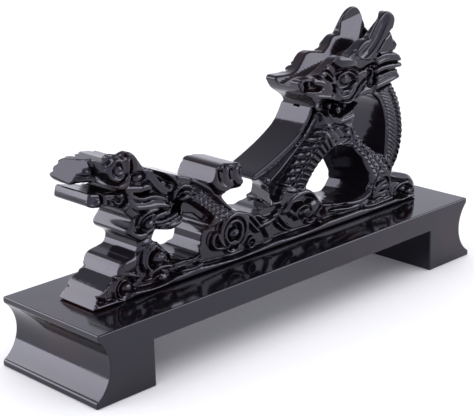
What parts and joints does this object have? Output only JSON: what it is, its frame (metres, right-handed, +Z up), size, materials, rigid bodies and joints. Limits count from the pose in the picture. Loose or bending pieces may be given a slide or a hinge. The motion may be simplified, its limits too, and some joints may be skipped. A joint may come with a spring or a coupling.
{
  "type": "calligraphy brush rest",
  "caption": "Carved dragon brush rest in black lacquer: a low dragon with two saddles for brushes, on a bench-shaped base with hollow-moulded ends.",
  "frame": {"origin": "on the desk, under the middle of the base", "axes": "+X along the base from the tail end to the arched back, +Y from the front face to the back face, +Z up"},
  "size_m": [0.2448, 0.064, 0.1296],
  "materials": {
    "base_lacquer": "high-gloss black lacquer on wood",
    "carving_lacquer": "high-gloss black lacquer on carved wood, brown where it is thin",
    "screw_steel": "zinc-plated steel"
  },
  "bodies": {
    "root": {"base_board": "base_lacquer", "left_foot": "base_lacquer", "right_foot": "base_lacquer", "left_cloud": "carving_lacquer", "middle_cloud": "carving_lacquer", "centre_cloud": "carving_lacquer", "low_cloud": "carving_lacquer", "right_cloud": "carving_lacquer", "tail_stem": "carving_lacquer", "lower_jaw": "carving_lacquer", "upper_jaw": "carving_lacquer", "mane_strands": "carving_lacquer", "scaled_tail": "carving_lacquer", "claw": "carving_lacquer", "forearm": "carving_lacquer", "body_rise": "carving_lacquer", "foreleg": "carving_lacquer", "back_loop": "carving_lacquer", "skull": "carving_lacquer", "jaw_and_beard": "carving_lacquer", "front_horn": "carving_lacquer", "back_horn": "carving_lacquer", "mane_lock_top": "carving_lacquer", "mane_lock_upper": "carving_lacquer", "mane_lock_lower": "carving_lacquer", "mane_lock_bottom": "carving_lacquer", "screw_left": "screw_steel", "screw_middle": "screw_steel", "screw_right": "screw_steel"}
  },
  "joints": []
}
